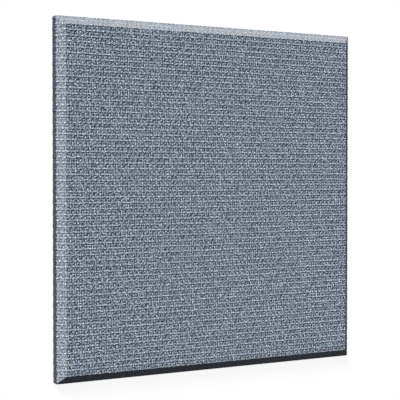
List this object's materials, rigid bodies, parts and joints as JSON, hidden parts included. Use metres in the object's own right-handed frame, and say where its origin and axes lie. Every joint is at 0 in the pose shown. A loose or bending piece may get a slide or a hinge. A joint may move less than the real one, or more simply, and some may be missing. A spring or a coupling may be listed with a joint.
{
  "type": "fabric-wrapped acoustic ceiling panel",
  "caption": "Square sound-absorbing ceiling panel: rigid glass-fibre board with bevelled edges, wrapped in woven cloth turned onto the back.",
  "frame": {"origin": "centre of the panel's back, on the plane of the turned cloth that it lies on", "axes": "+Z out of the fabric face, +X across the panel, +Y along it towards the edge that is at the top in the picture"},
  "size_m": [0.6096, 0.6096, 0.0254],
  "materials": {
    "woven_cloth": "blue-grey heathered polyester weave, matte",
    "glass_wool": "compressed glass wool, bare, matte"
  },
  "bodies": {
    "root": {"fabric_wrap": "woven_cloth", "glass_fibre_board": "glass_wool"}
  },
  "joints": []
}
